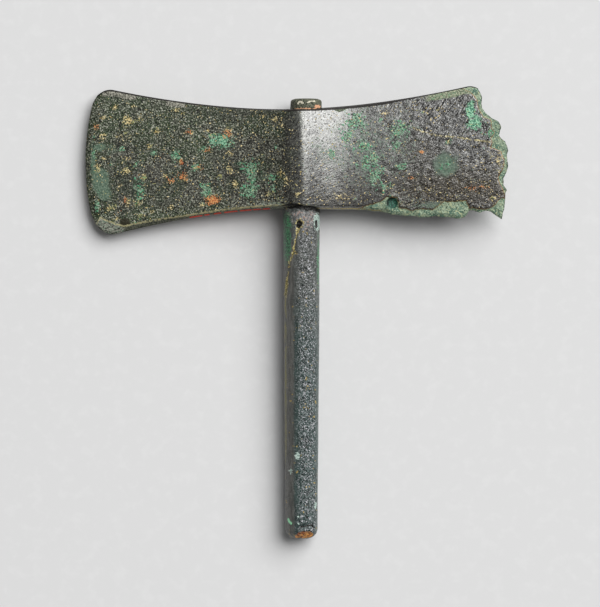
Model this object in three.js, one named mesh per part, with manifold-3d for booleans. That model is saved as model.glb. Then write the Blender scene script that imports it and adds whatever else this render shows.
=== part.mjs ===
// A double-bladed axe head of cast bronze with the stub of its wooden haft still in the socket.
// One blade is whole; the other is broken off along a ragged line. The axe lies flat on a table,
// on the back of its socket and on the foot of the haft, rolled a little towards the whole blade.
//
// Millimetres, +Z up. The origin is on the table, under the middle of the socket.
// +X runs out along the broken blade and +Y towards the short upper end of the haft.
import * as THREE from 'three';
import { mergeVertices } from 'three/addons/utils/BufferGeometryUtils.js';
import Module from 'manifold-3d';

const wasm = await Module();
wasm.setup();

// ---- the outline of the head, seen from above -------------------------------------------------
// The head lies rolled over by this angle, so its blades are a little longer than they look from above.
const ROLL = THREE.MathUtils.degToRad(3);

// Both long edges sweep inwards to a waist at the socket: y = waist + flare * (distance / reach)^power.
const FLARE_REACH = 80;
const FLARE_POWER = 1.8;
const UPPER_EDGE = { waist: 21.9, waistX: -7.3, flare: 9.8, leftX: -90, rightX: 77.7, corner: 5 };
const LOWER_EDGE = { waist: -21.8, waistX: -5, flare: -11.8, leftX: -88.7, rightX: 87.8 };

// The corners of the whole blade are rounded off by CORNER_DROP over the last CORNER_RUN.
const CORNER_RUN = 7;
const CORNER_DROP = 3.8;

// The whole cutting edge, a shallow curve from its lower corner to its upper one.
const CUTTING_EDGE = [
  [-88.7, -30.9], [-91.1, -28], [-93.3, -22], [-94.7, -13], [-95.4, -1],
  [-94.9, 9], [-93.7, 18], [-92.3, 24.5], [-90, 28.7],
];

// The lower edge of the broken blade is eaten away by corrosion, then chipped back to a spur.
const WORN_EDGE = [
  [0, -21.9], [17, -22.3], [26, -22.3], [35, -23.2], [43.5, -24.8], [51.5, -25.7], [56.5, -25.2],
  [65.3, -26],
];
const CHIPPED_CORNER = [
  [65.3, -26], [69.7, -26], [71.5, -25.4], [72.4, -24.6], [73.3, -23], [75, -23], [78.1, -23.9],
  [80.7, -23], [82.9, -23.1], [84.3, -24], [85.6, -25], [86.7, -25.8], [87.8, -26.3],
];

// The ragged line where the other blade broke off, from the tip of the spur upwards.
const BROKEN_END = [
  [87.8, -26.3], [88.3, -25], [89.1, -21.5], [89.5, -18], [89.8, -13.6], [88.6, -11.3],
  [88.4, -8.7], [89.1, -7.8], [90.4, -5.2], [90.4, 0], [90.4, 5.4], [89.5, 7.6], [88.2, 8.2],
  [87.3, 9.1], [86.9, 10.6], [87.3, 14.2], [86.5, 16.4], [83.8, 17.5], [82.1, 19],
  [80.7, 20.5], [79.6, 22.3], [79, 24.3], [79.4, 25.8], [78.6, 28.6], [77.7, 30.9],
];

// ---- the thickness of the head ------------------------------------------------------------------
const EDGE_HALF_THICKNESS = 1;
const WEB_HALF_THICKNESS = 4.4;
const BOSS_HEIGHT = 7.2;
const BOSS_SPREAD = 11;
const RIDGE_RADIUS = 4;
const WEB_CROWN = 0.3;
const BOSS_CROWN = 0.03;
const BLADE_LENGTH = 95.4;

// How far the bevels of the narrow sides reach in from the outline.
const CUTTING_BEVEL = 3;
const BROKEN_BEVEL = 1;
const LOWER_BEVEL = 2;
const UPPER_BEVEL = 1;

// ---- the mesh of the head -----------------------------------------------------------------------
// Columns along the blades, as [start, end, count] with -1 the whole blade's end and 1 the broken one's:
// close together at the two ends and over the ridge.
const SPUR_START = 0.74;
const BAYS = [
  [-1, -0.9, 7], [-0.9, -0.16, 17], [-0.16, 0.16, 14], [0.16, SPUR_START, 13],
  [SPUR_START, 1, CHIPPED_CORNER.length - 1],
];
const ROWS = BROKEN_END.length - 1;
const LAYERS = 3;

// ---- the haft -----------------------------------------------------------------------------------
// Distances run along the haft's axis, 0 at the middle of the socket.
const HAFT_SIDES = 32;
const HAFT_TOP = 26.5;
const HAFT_FOOT = -167.1;
const MOUTH = -23;
const RADIUS_AT_TOP = 6.8;
const RADIUS_AT_MOUTH = 8.15;
const RADIUS_AT_FOOT = 7.15;
const TOP_ROUNDING = 1.6;
const FOOT_ROUNDING = 4.5;
const TENON_OFFSET = 2;
const GAP = 0.3;
const BORE_TOP = 40;
const BORE_FOOT = -40;
const SHANK_STATIONS = [-120, -75];
const SOCKET_STATIONS = [MOUTH, -10, 0, 10, 18];
const END_ROUNDING_STEPS = 3;

// A flake of the foot has split off, leaving a sloping face.
const FLAKE_START = -163.3;
const FLAKE_SLOPE = THREE.MathUtils.degToRad(52);
const FLAKE_TURN = THREE.MathUtils.degToRad(12);
const FLAKE_SIZE = 30;

// The back of the ridge is worn to a narrow flat, which keeps the axe from rocking.
const FLAT_DEPTH = 1.3;

const bronze = new THREE.MeshStandardMaterial({ color: 0x5c5f50, roughness: 0.5, metalness: 0.6 });
const coatedWood = new THREE.MeshStandardMaterial({ color: 0x57615d, roughness: 0.5, metalness: 0 });

// ---- helpers ------------------------------------------------------------------------------------
// The point at fraction t, counted in whole stretches, of a line through the points.
function alongLine(points, t) {
  const stretches = points.length - 1;
  const place = THREE.MathUtils.clamp(t, 0, 1) * stretches;
  const index = Math.min(Math.floor(place), stretches - 1);
  const start = new THREE.Vector2(...points[index]);
  const end = new THREE.Vector2(...points[index + 1]);
  return start.lerp(end, place - index);
}

// The height of a line of points at x.
function heightAt(points, x) {
  const last = points.length - 1;
  const index = Math.min(points.findIndex((point) => point[0] > x), last);
  if (index < 1) return points[last][1];
  const [startX, startY] = points[index - 1];
  const [endX, endY] = points[index];
  return THREE.MathUtils.mapLinear(x, startX, endX, startY, endY);
}

function toSolid(geometry) {
  geometry.deleteAttribute('normal');
  geometry.deleteAttribute('uv');
  const merged = mergeVertices(geometry);
  return new wasm.Manifold(new wasm.Mesh({
    numProp: 3,
    vertProperties: new Float32Array(merged.attributes.position.array),
    triVerts: new Uint32Array(merged.index.array),
  }));
}

function toGeometry(solid) {
  const mesh = solid.getMesh();
  const geometry = new THREE.BufferGeometry();
  geometry.setAttribute('position', new THREE.BufferAttribute(mesh.vertProperties, 3));
  geometry.setIndex(new THREE.BufferAttribute(mesh.triVerts, 1));
  geometry.computeVertexNormals();
  return geometry;
}

// Moves every vertex of a geometry to move(vertex).
function reshape(geometry, move) {
  const position = geometry.attributes.position;
  const vertex = new THREE.Vector3();
  for (let index = 0; index < position.count; index += 1) {
    vertex.fromBufferAttribute(position, index);
    const moved = move(vertex);
    position.setXYZ(index, moved.x, moved.y, moved.z);
  }
  return geometry;
}

// ---- the axe head -------------------------------------------------------------------------------
function flared(edge, x) {
  return edge.waist + edge.flare * (Math.abs(x - edge.waistX) / FLARE_REACH) ** FLARE_POWER;
}

function cornerDrop(x, endX, run) {
  const into = Math.max(0, run - Math.abs(endX - x));
  return CORNER_DROP * (into / CORNER_RUN) ** 2;
}

// Points on the long edges; u is -1 at the whole blade's end, 0 at the ridge, 1 at the broken end.
function upperEdge(u) {
  const { leftX, rightX, corner } = UPPER_EDGE;
  const x = u < 0 ? -u * leftX : u * rightX;
  const drop = cornerDrop(x, leftX, CORNER_RUN) + cornerDrop(x, rightX, corner);
  return new THREE.Vector2(x, flared(UPPER_EDGE, x) - drop);
}

function lowerEdge(u) {
  if (u > SPUR_START) return alongLine(CHIPPED_CORNER, (u - SPUR_START) / (1 - SPUR_START));
  const { leftX, rightX } = LOWER_EDGE;
  if (u > 0) {
    const x = (u / SPUR_START) * CHIPPED_CORNER[0][0];
    return new THREE.Vector2(x, heightAt(WORN_EDGE, x));
  }
  const x = -u * leftX;
  return new THREE.Vector2(x, flared(LOWER_EDGE, x) + cornerDrop(x, leftX, CORNER_RUN));
}

const cuttingCurve = new THREE.SplineCurve(CUTTING_EDGE.map((point) => new THREE.Vector2(...point)));

// A point of the head's plan. Straight ribs join the long edges; towards each end they are drawn
// out to the line of that end.
function planPoint(u, v) {
  const end = u < 0 ? -1 : 1;
  const rib = lowerEdge(u).lerp(upperEdge(u), v);
  const lastRib = lowerEdge(end).lerp(upperEdge(end), v);
  const endLine = u < 0 ? cuttingCurve.getPoint(v) : alongLine(BROKEN_END, v);
  return rib.addScaledVector(endLine.sub(lastRib), u * u);
}

// Half the thickness of the head: a web that thins towards the ends, and a boss over the socket
// whose ridge is rounded. Both are crowned, fullest halfway between the long edges.
function halfThickness(x, v) {
  const fromRidge = Math.hypot(x, RIDGE_RADIUS) - RIDGE_RADIUS;
  const fromMiddle = (2 * v - 1) ** 2;
  const web = THREE.MathUtils.lerp(WEB_HALF_THICKNESS, EDGE_HALF_THICKNESS, fromRidge / BLADE_LENGTH);
  const boss = BOSS_HEIGHT * Math.exp(-fromRidge / BOSS_SPREAD);
  return web * (1 - WEB_CROWN * fromMiddle) + boss * (1 - BOSS_CROWN * fromMiddle);
}

function headBlank() {
  const columns = [-1];
  for (const [start, end, count] of BAYS) {
    for (let step = 1; step <= count; step += 1) {
      columns.push(THREE.MathUtils.lerp(start, end, step / count));
    }
  }
  const lastColumn = columns.length - 1;
  const box = new THREE.BoxGeometry(1, 1, 1, lastColumn, ROWS, LAYERS);
  const waistHeight = UPPER_EDGE.waist - LOWER_EDGE.waist;
  return reshape(box, ({ x, y, z }) => {
    let u = columns[Math.round((x + 0.5) * lastColumn)];
    let v = y + 0.5;
    // The outermost layers, the two broad faces, are drawn in by the bevels.
    if (Math.abs(z) > 0.4) {
      u *= 1 - (u < 0 ? CUTTING_BEVEL : BROKEN_BEVEL) / BLADE_LENGTH;
      v = THREE.MathUtils.lerp(LOWER_BEVEL / waistHeight, 1 - UPPER_BEVEL / waistHeight, v);
    }
    const plan = planPoint(u, v);
    plan.x /= Math.cos(ROLL);
    return new THREE.Vector3(plan.x, plan.y, 2 * z * halfThickness(plan.x, v));
  });
}

// ---- the haft -----------------------------------------------------------------------------------
function haftRadius(y) {
  if (y > MOUTH) return THREE.MathUtils.mapLinear(y, MOUTH, HAFT_TOP, RADIUS_AT_MOUTH, RADIUS_AT_TOP);
  return THREE.MathUtils.mapLinear(y, HAFT_FOOT, MOUTH, RADIUS_AT_FOOT, RADIUS_AT_MOUTH);
}

// The tenon inside the socket leans over to one side.
function haftOffset(y) {
  return TENON_OFFSET * THREE.MathUtils.smoothstep(y, MOUTH, HAFT_TOP);
}

// A rod along the haft's axis, turned from a profile of [distance, radius] points.
function rod(profile) {
  const points = profile.map(([y, radius]) => new THREE.Vector2(radius, y));
  const lathe = new THREE.LatheGeometry(points, HAFT_SIDES);
  return reshape(lathe, ({ x, y, z }) => new THREE.Vector3(x + haftOffset(y), y, z));
}

// Points of a rounded end, from its axis out to its full radius.
function roundedEnd(y, direction, rounding) {
  const profile = [[y, 0]];
  for (let step = 0; step <= END_ROUNDING_STEPS; step += 1) {
    const angle = (Math.PI / 2) * (step / END_ROUNDING_STEPS);
    const inset = rounding * (1 - Math.sin(angle));
    const distance = y - direction * rounding * (1 - Math.cos(angle));
    profile.push([distance, haftRadius(distance) - inset]);
  }
  return profile;
}

function haftBlank() {
  const foot = roundedEnd(HAFT_FOOT, -1, FOOT_ROUNDING);
  const top = roundedEnd(HAFT_TOP, 1, TOP_ROUNDING).reverse();
  const body = [...SHANK_STATIONS, ...SOCKET_STATIONS].map((y) => [y, haftRadius(y)]);
  return rod([...foot, ...body, ...top]);
}

function bore() {
  const stations = [BORE_FOOT, ...SOCKET_STATIONS, HAFT_TOP, BORE_TOP];
  const wall = stations.map((y) => [y, haftRadius(y) + GAP]);
  return rod([[BORE_FOOT, 0], ...wall, [BORE_TOP, 0]]);
}

// ---- how the two lie on the table ---------------------------------------------------------------
// The head rolls about the haft. The haft slopes down until its foot, held at the socket's height at
// the other end, comes onto the table.
const socketHeight = halfThickness(0, 0.5) - FLAT_DEPTH;
const footReach = -(HAFT_FOOT + FOOT_ROUNDING);
const footRadius = haftRadius(-footReach);
const slope = Math.asin(socketHeight / Math.hypot(footReach, footRadius)) - Math.atan2(footRadius, footReach);
const headPose = new THREE.Matrix4().makeRotationY(-ROLL).setPosition(0, 0, socketHeight);
const haftPose = new THREE.Matrix4().makeRotationX(slope).setPosition(0, 0, socketHeight);

function makeHead() {
  const underTable = new THREE.BoxGeometry(BLADE_LENGTH * 3, BLADE_LENGTH, BLADE_LENGTH);
  underTable.translate(0, 0, -BLADE_LENGTH / 2);
  const solid = toSolid(headBlank().applyMatrix4(headPose))
    .subtract(toSolid(bore().applyMatrix4(haftPose)))
    .subtract(toSolid(underTable));
  const mesh = new THREE.Mesh(toGeometry(solid), bronze);
  mesh.name = 'axe_head';
  return mesh;
}

function makeHaft() {
  const flake = new THREE.BoxGeometry(FLAKE_SIZE, FLAKE_SIZE, FLAKE_SIZE);
  flake.translate(0, 0, FLAKE_SIZE / 2);
  flake.rotateX(FLAKE_SLOPE);
  flake.rotateZ(FLAKE_TURN);
  flake.translate(0, FLAKE_START, haftRadius(FLAKE_START));
  const solid = toSolid(haftBlank()).subtract(toSolid(flake));
  const mesh = new THREE.Mesh(toGeometry(solid), coatedWood);
  mesh.name = 'haft';
  mesh.applyMatrix4(haftPose);
  return mesh;
}

const group = new THREE.Group();
group.add(makeHead(), makeHaft());

export default group;
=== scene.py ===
import math

import bpy
import numpy as np
from mathutils import Matrix


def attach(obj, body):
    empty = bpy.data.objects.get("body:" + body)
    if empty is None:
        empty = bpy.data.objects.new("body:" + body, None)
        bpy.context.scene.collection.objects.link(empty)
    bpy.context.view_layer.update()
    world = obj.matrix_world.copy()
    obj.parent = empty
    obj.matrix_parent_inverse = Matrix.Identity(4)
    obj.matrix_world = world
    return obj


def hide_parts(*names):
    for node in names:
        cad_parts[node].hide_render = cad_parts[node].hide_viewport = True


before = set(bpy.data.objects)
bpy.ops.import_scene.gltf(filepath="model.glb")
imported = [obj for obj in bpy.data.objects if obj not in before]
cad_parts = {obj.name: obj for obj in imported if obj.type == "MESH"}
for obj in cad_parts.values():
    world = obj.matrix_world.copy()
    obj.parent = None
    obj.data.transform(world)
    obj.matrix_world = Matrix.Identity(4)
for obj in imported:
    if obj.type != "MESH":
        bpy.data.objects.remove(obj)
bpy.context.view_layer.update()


# ---- The axe head -----------------------------------------------------------------------------
# One casting of bronze: two thin blades that flare out from a thick socket with a ridge along it.
# It was cast, then ground to its edges. Centuries in the ground gave it an olive patina with green
# and tan crusts, and took the end of one blade. Sizes here are in millimetres, head lying level.
MM = 0.001
HEAD_COLUMNS = 360
HEAD_ROWS = 120
BLADE_LENGTH = 95.4
ROLL = math.radians(3)
SOCKET_HEIGHT = 10.3

# Both long edges sweep in to a waist at the socket. Each pair is the whole side, then the broken one.
UPPER_REACH = (90, 77.7)
UPPER_WAIST = (-7.3, 21.9)
UPPER_FLARE = 9.8
LOWER_REACH = (88.7, 87.8)
LOWER_WAIST = (-5, -21.8)
LOWER_FLARE = 11.8
FLARE_REACH = 80
FLARE_POWER = 1.8
# The corners are rounded off by CORNER_DROP over the last CORNER_RUN.
CORNER_DROP = 3.8
CORNER_RUN = 7
BROKEN_CORNER_RUN = 5
# Half the thickness of the blades and of the socket's boss.
EDGE_HALF = 1
WEB_HALF = 4.4
WEB_CROWN = 0.3
RIDGE_RADIUS = 4
BOSS_HEIGHT = 7.2
BOSS_SPREAD = 11
BOSS_CROWN = 0.03
# A round pit in the lower crust of the broken blade.
PIT_X = 40
PIT_Y = -19.4

CUTTING_EDGE = [
    (-88.7, -30.9), (-91.1, -28), (-93.3, -22), (-94.7, -13), (-95.4, -1),
    (-94.9, 9), (-93.7, 18), (-92.3, 24.5), (-90, 28.7),
]
WORN_LOWER_EDGE = [
    (0, -21.9), (17, -22.3), (26, -22.3), (35, -23.2), (43.5, -24.8), (51.5, -25.7), (56.5, -25.2),
    (65.3, -26), (69.7, -26), (71.5, -25.4), (72.4, -24.6), (73.3, -23), (75, -23), (78.1, -23.9),
    (80.7, -23), (82.9, -23.1), (84.3, -24), (85.6, -25), (86.7, -25.8), (87.8, -26.3),
]
BROKEN_END = [
    (87.8, -26.3), (88.3, -25), (89.1, -21.5), (89.5, -18), (89.8, -13.6), (88.6, -11.3),
    (88.4, -8.7), (89.1, -7.8), (90.4, -5.2), (90.4, 0), (90.4, 5.4), (89.5, 7.6), (88.2, 8.2),
    (87.3, 9.1), (86.9, 10.6), (87.3, 14.2), (86.5, 16.4), (83.8, 17.5), (82.1, 19),
    (80.7, 20.5), (79.6, 22.3), (79, 24.3), (79.4, 25.8), (78.6, 28.6), (77.7, 30.9),
]
# Where the dark skin of the broken blade stops, at its end and along its lower edge, and the pale
# layer under it begins.
SKIN_END = [
    (90, -26.3), (89, -20), (88.7, -13.6), (86.5, -9.6), (86.5, -7.8),
    (88.2, -4.8), (88.9, -0.4), (87.3, 3.2), (83.4, 4.9), (83.4, 8.4), (84.3, 11.5), (82.9, 17.2),
    (79.5, 18.1), (78, 21.6), (77, 26), (74.5, 29), (70, 31),
]
LOWER_SKIN_END = [
    (22, -60), (23, -24), (25.1, -21.6), (28.8, -20.6), (33.9, -18.8), (36.5, -18.1), (37.4, -16.8),
    (42.2, -16.8), (43, -21.3), (49, -22.8), (50.2, -22.2), (57.8, -22.2), (60.3, -20.3), (62.8, -18.8),
    (72.2, -18.4), (73.5, -21.6), (82.3, -21.9), (85.4, -19.7), (88, -17),
]


def mottle(x, y, z, size, seed, octaves=3):
    """Smooth random values, about -1 to 1, whose blotches are about `size` across."""
    lattice = np.random.default_rng(seed).uniform(-1, 1, (32, 32, 32))
    total = np.zeros(np.shape(x))
    strength = 1.0
    for octave in range(octaves):
        spots = np.stack([x, y, z], -1) * (2 ** octave / size) + 7.3 * octave
        cell = np.floor(spots).astype(int)
        part = spots - cell
        part = part * part * (3 - 2 * part)
        blend = 0.0
        for corner in np.ndindex(2, 2, 2):
            weight = np.prod(np.where(corner, part, 1 - part), -1)
            at = (cell + corner) % 32
            blend = blend + weight * lattice[at[..., 0], at[..., 1], at[..., 2]]
        total += strength * blend
        strength *= 0.55
    return total


def ease(value, low, high):
    """0 below low, 1 above high, and a smooth step between."""
    part = np.clip((value - low) / (high - low), 0, 1)
    return part * part * (3 - 2 * part)


def across_at(line, y):
    """How far out a line of (x, y) points is at each y."""
    return np.interp(y, [point[1] for point in line], [point[0] for point in line])


def rounded_line(points, steps=8):
    """More points along a smooth curve through the given ones."""
    ring = np.array([points[0], *points, points[-1]], float)
    made = []
    for before, start, end, after in zip(ring, ring[1:], ring[2:], ring[3:]):
        for part in np.arange(steps) / steps:
            bend = 2 * start + (end - before) * part
            bend += (2 * before - 5 * start + 4 * end - after) * part ** 2
            bend += (3 * start - before - 3 * end + after) * part ** 3
            made.append(tuple(bend / 2))
    return made + [points[-1]]


def corner_drop(from_corner, run=CORNER_RUN):
    return CORNER_DROP * (np.clip(run - np.abs(from_corner), 0, None) / CORNER_RUN) ** 2


def upper_edge(u):
    whole, broken = UPPER_REACH
    waist_x, waist_y = UPPER_WAIST
    x = np.where(u < 0, whole * u, broken * u)
    y = waist_y + UPPER_FLARE * (np.abs(x - waist_x) / FLARE_REACH) ** FLARE_POWER
    return x, y - corner_drop(-whole - x) - corner_drop(broken - x, BROKEN_CORNER_RUN)


def lower_edge(u):
    whole, broken = LOWER_REACH
    waist_x, waist_y = LOWER_WAIST
    x = np.where(u < 0, whole * u, broken * u)
    swept = waist_y - LOWER_FLARE * (np.abs(x - waist_x) / FLARE_REACH) ** FLARE_POWER
    swept = swept + corner_drop(-whole - x)
    worn = np.interp(x, *zip(*WORN_LOWER_EDGE))
    worn = worn + 0.35 * mottle(x, 0 * x, 0 * x, 3.1, 11) * ease(x, 14, 40)
    return x, np.where(x < 0, swept, worn)


def head_plan(u, v):
    """Straight ribs between the long edges, drawn out to the line of each end."""
    lower_x, lower_y = lower_edge(u)
    upper_x, upper_y = upper_edge(u)
    x = lower_x + (upper_x - lower_x) * v
    y = lower_y + (upper_y - lower_y) * v
    far = np.where(u < 0, -1.0, 1.0)
    far_lower_x, far_lower_y = lower_edge(far)
    far_upper_x, far_upper_y = upper_edge(far)
    last_x = far_lower_x + (far_upper_x - far_lower_x) * v
    last_y = far_lower_y + (far_upper_y - far_lower_y) * v
    ragged = across_at(BROKEN_END, last_y) + 0.3 * mottle(last_y, 0 * y, 0 * y, 1.7, 12)
    end_x = np.where(u < 0, across_at(rounded_line(CUTTING_EDGE), last_y), ragged)
    return (x + (end_x - last_x) * u * u) / math.cos(ROLL), y


def half_thickness(x, v):
    """A web that thins towards the ends, and over the socket a boss with a rounded ridge."""
    from_ridge = np.hypot(x, RIDGE_RADIUS) - RIDGE_RADIUS
    from_middle = (2 * v - 1) ** 2
    web = WEB_HALF + (EDGE_HALF - WEB_HALF) * from_ridge / BLADE_LENGTH
    web = web * (1 - WEB_CROWN * from_middle)
    boss = BOSS_HEIGHT * np.exp(-from_ridge / BOSS_SPREAD) * (1 - BOSS_CROWN * from_middle)
    return web + boss


def skin_cover(x, y):
    """1 where the dark skin lies on, 0 where it has flaked off near the broken end."""
    x = x * math.cos(ROLL)
    end = across_at(SKIN_END, y) - x
    lower_end = y - np.interp(x, *zip(*LOWER_SKIN_END))
    return ease(np.minimum(end, lower_end) + 0.45 * mottle(x, y, 0 * x, 2.3, 21), -0.4, 0.5)


# A groove along the lower lip of the socket, over the mouth that the haft comes out of.
MOUTH_GROOVE = [(-8.2, -20.7), (-4, -20.2), (-0.6, -20.5), (2.6, -21.3), (6.4, -21.6)]


def near_line(x, y, line):
    """How far each point is from a line of (x, y) points."""
    nearest = np.full(np.shape(x), np.inf)
    for (start_x, start_y), (end_x, end_y) in zip(line, line[1:]):
        run_x, run_y = end_x - start_x, end_y - start_y
        part = ((x - start_x) * run_x + (y - start_y) * run_y) / (run_x ** 2 + run_y ** 2)
        part = np.clip(part, 0, 1)
        nearest = np.minimum(nearest, np.hypot(x - start_x - part * run_x, y - start_y - part * run_y))
    return nearest


def head_relief(x, y, z):
    """How far the skin stands above or below the casting's smooth face, which shows near the ridge."""
    worn = 1 - 0.75 * ease(x, -8, 4) * ease(-x, -52, -28)
    wide = 0.16 * mottle(x, y, z, 24, 31, 1) + 0.06 * mottle(x, y, z, 7, 32, 2) * worn
    pits = -0.22 * ease(mottle(x, y, z, 2.6, 33, 2), 0.45, 1.1) * worn
    fine = 0.05 * mottle(x, y, z, 1.3, 34, 2) * worn
    from_pit = np.hypot(x - PIT_X, y - PIT_Y)
    pit = 0.25 * np.exp(-((from_pit - 2.9) / 0.8) ** 2) - 1.1 * ease(2.8 - from_pit, 0, 1.6)
    groove = -0.5 * ease(0.6 - near_line(x, y, MOUTH_GROOVE), 0, 0.5)
    wide = wide - 0.5 * ease(y, 13, 24) * ease(x, -4, 4) * ease(-x, -34, -20)
    granules = ease(0.5 - skin_cover(x, y), 0, 0.5) * (0.1 + 0.22 * mottle(x, y, z, 2, 35, 2))
    return wide + pits + fine + np.where(z > 0, pit + groove + granules, 0)


# The lower edge is bevelled, widest at the corroded corner of the whole blade.
LOWER_BEVEL_AT = [-93, -88, -84, -80.5, -78, -66, -50, -30, 0, 60, 88]
LOWER_BEVEL = [4, 5.6, 5.4, 3.6, 2.4, 2.1, 1.3, 1.4, 1.4, 1.7, 1]


def head_point(u, v, w):
    """A point of the head: w runs through its thickness, from -1 on the back to 1 on the front."""
    side = np.clip((np.abs(w) - 1 / 3) * 1.5, 0, 1)
    x_near = 90 * u
    lower_bevel = np.interp(x_near, LOWER_BEVEL_AT, LOWER_BEVEL)
    height = 43.7 + 18 * u * u
    v = v + side * ((1 - v) * lower_bevel / height - v * 0.9 / height)
    u = u * (1 - side * np.where(u < 0, 3.0, 0.9) / BLADE_LENGTH)
    x, y = head_plan(u, v)
    depth = half_thickness(x, v)
    missing = np.where(w > 0, np.minimum(0.5, 0.4 * depth) * (1 - skin_cover(x, y)), 0)
    z = w * (depth - missing)
    return np.stack([x, y, z + np.sign(w) * side * head_relief(x, y, z)], -1)


def grid_faces(index):
    """Four-cornered faces between neighbours in a table of vertex numbers."""
    corners = [index[:-1, :-1], index[1:, :-1], index[1:, 1:], index[:-1, 1:]]
    return np.stack(corners, -1).reshape(-1, 4)


def mesh_object(name, points, faces):
    mesh = bpy.data.meshes.new(name)
    mesh.from_pydata(points.tolist(), [], faces.tolist())
    mesh.shade_smooth()
    made = bpy.data.objects.new(name, mesh)
    bpy.context.collection.objects.link(made)
    return made


def head_mesh():
    """The closed skin of the casting: a back, a front and the rings of the narrow sides."""
    columns, rows = np.arange(HEAD_COLUMNS + 1), np.arange(HEAD_ROWS + 1)
    column, row = np.meshgrid(columns, rows, indexing="ij")
    u, v = 2 * column / HEAD_COLUMNS - 1, row / HEAD_ROWS
    back = head_point(u, v, np.full(u.shape, -1.0))
    front = head_point(u, v, np.full(u.shape, 1.0))
    number = np.arange(u.size).reshape(u.shape)
    around = np.concatenate([number[:-1, 0], number[-1, :-1], number[:0:-1, -1], number[0, :0:-1]])
    points = [back.reshape(-1, 3), front.reshape(-1, 3)]
    rings = [around]
    for w in (-0.78, -0.56, -0.33, 0, 0.33, 0.56, 0.78):
        rings.append(sum(map(len, points)) + np.arange(len(around)))
        points.append(head_point(u.flat[around], v.flat[around], np.full(len(around), w)))
    rings.append(around + u.size)
    sides = grid_faces(np.array([np.append(ring, ring[0]) for ring in rings]).T)
    faces = np.concatenate([grid_faces(number)[:, ::-1], grid_faces(number + u.size), sides])
    return np.concatenate(points), faces


def settle(points, turn):
    """Head or haft points, in millimetres about the socket's middle, laid on the table in metres."""
    lifted = np.asarray(points, float) @ np.array(turn.to_3x3()).T
    lifted[:, 2] += SOCKET_HEIGHT
    return lifted * MM


head_points, head_faces = head_mesh()
# The head rolls towards its whole blade.
roll = Matrix.Rotation(-ROLL, 4, "Y")
head_points = settle(head_points, roll)
head_points[:, 2] = np.maximum(head_points[:, 2], 0)
head = mesh_object("axe_head_patinated", head_points, head_faces)

# The haft fills the socket, so the skin stays closed under it and no bore is cut in this mesh.
head_skin = head.data

# Where things grow on the front, as (along the blades, along the socket, half width, half height,
# strength).
GREEN_BLOOMS = [
    (-54.9, 1.8, 2.3, 2, 1), (-65.2, 2.8, 1.6, 1.2, 1), (-79.2, 5.2, 1.6, 1.3, 0.9),
    (-35.8, 7.8, 6, 3, 1.05), (-41.5, 4.6, 2.2, 1.3, 0.8), (-46, -3.5, 2, 1.4, 1),
    (-41.3, -13.3, 2.6, 3, 1.1), (-21.8, -4.5, 3.2, 3.2, 1.1), (-21.3, -9, 2.6, 2.6, 0.9),
    (-23, -14, 3.4, 3, 1.1), (-13, -9, 2, 2.4, 0.65), (-11.6, -12.5, 2.6, 2, 0.75),
    (-84, -1, 1.6, 1.6, 0.6), (-72, -2, 1.8, 3, 0.6), (-71, -13, 2.4, 5, 0.75), (-90, -20, 1.6, 4, 0.7),
    (-10.4, 5, 0.9, 1, 0.9), (-27.5, -2, 1.6, 1, 0.7), (-44, -19.2, 1.4, 1, 0.8), (-92, 4, 1.4, 5, 0.6),
    (24, 16.4, 4.2, 3.4, 1), (20.5, 9, 3.4, 3.6, 0.72), (27, 5.5, 3.6, 3.6, 0.72),
    (31, -0.5, 4, 4.2, 0.8), (32.5, -7, 3.6, 4, 0.85), (35.5, -12.5, 3, 3, 0.8),
    (13.3, 2.2, 1.7, 2, 0.95), (24.5, -3, 1, 1, 0.95), (42.7, 12.5, 4.4, 3.4, 0.9),
    (42, 6.5, 1.6, 1.8, 0.95), (43.5, -3.5, 3, 2, 0.85), (40, -19.4, 2.6, 2.6, 0.9),
    (74, 20.4, 2.2, 4, 1.25), (76.2, 15.4, 3, 2.8, 1.1), (64, 7.2, 1.3, 1.1, 0.9),
    (64, -2.6, 2.6, 2.6, 0.62), (35, 17, 1, 1, 0.8), (81, 24.5, 2.4, 5, 0.9), (84, 12, 2.6, 3, 0.9),
    (38, 6, 1, 1, 0.6),
]
GREEN_FILMS = [
    (-88.6, -9.6, 3.4, 5.2, 1.2), (-87, -15, 3, 3, 1), (-89, 5.4, 2.6, 2, 0.9),
    (63.4, -2.6, 5.6, 5.4, 0.9), (-92, -2, 1.6, 12, 0.7), (28, 4, 12, 14, 0.42), (43, 6, 7, 12, 0.36),
    (12, 2, 6, 5, 0.4), (-17, -9, 8, 7, 0.4), (60, -20, 14, 3, 0.5), (-72, -12, 5, 7, 0.45),
    (-84, 5, 6, 4, 0.45),
]
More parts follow.
